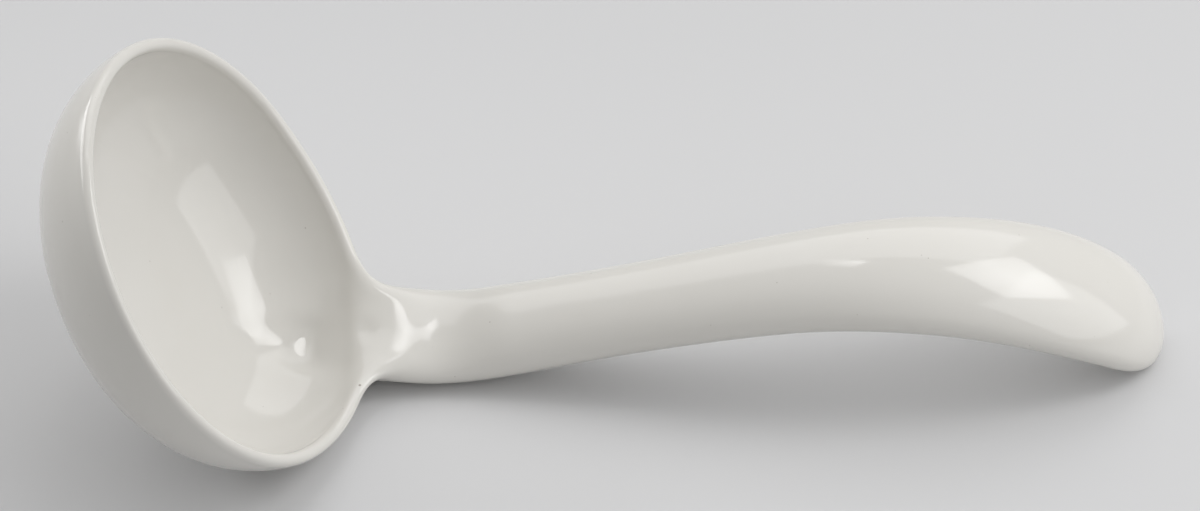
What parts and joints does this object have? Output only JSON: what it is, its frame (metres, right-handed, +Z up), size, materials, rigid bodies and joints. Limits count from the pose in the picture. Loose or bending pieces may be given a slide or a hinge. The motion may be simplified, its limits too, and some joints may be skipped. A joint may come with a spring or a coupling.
{
  "type": "tureen ladle",
  "caption": "Small white glazed porcelain ladle for a sauce tureen: deep round bowl with a short, curved, broad-ended handle luted to its rim.",
  "frame": {"origin": "on the table under the middle of the ladle's bounding box, as the ladle lies at rest", "axes": "+X along the handle from bowl to tip, +Z up from the table, +Y to the far side of the handle, away from the way that the bowl faces least"},
  "size_m": [0.1696, 0.0672, 0.0589],
  "materials": {
    "glaze": "glossy",
    "slip": "matte"
  },
  "bodies": {
    "root": {"bowl": "glaze", "handle": "glaze", "slip_joint": "slip"}
  },
  "joints": []
}
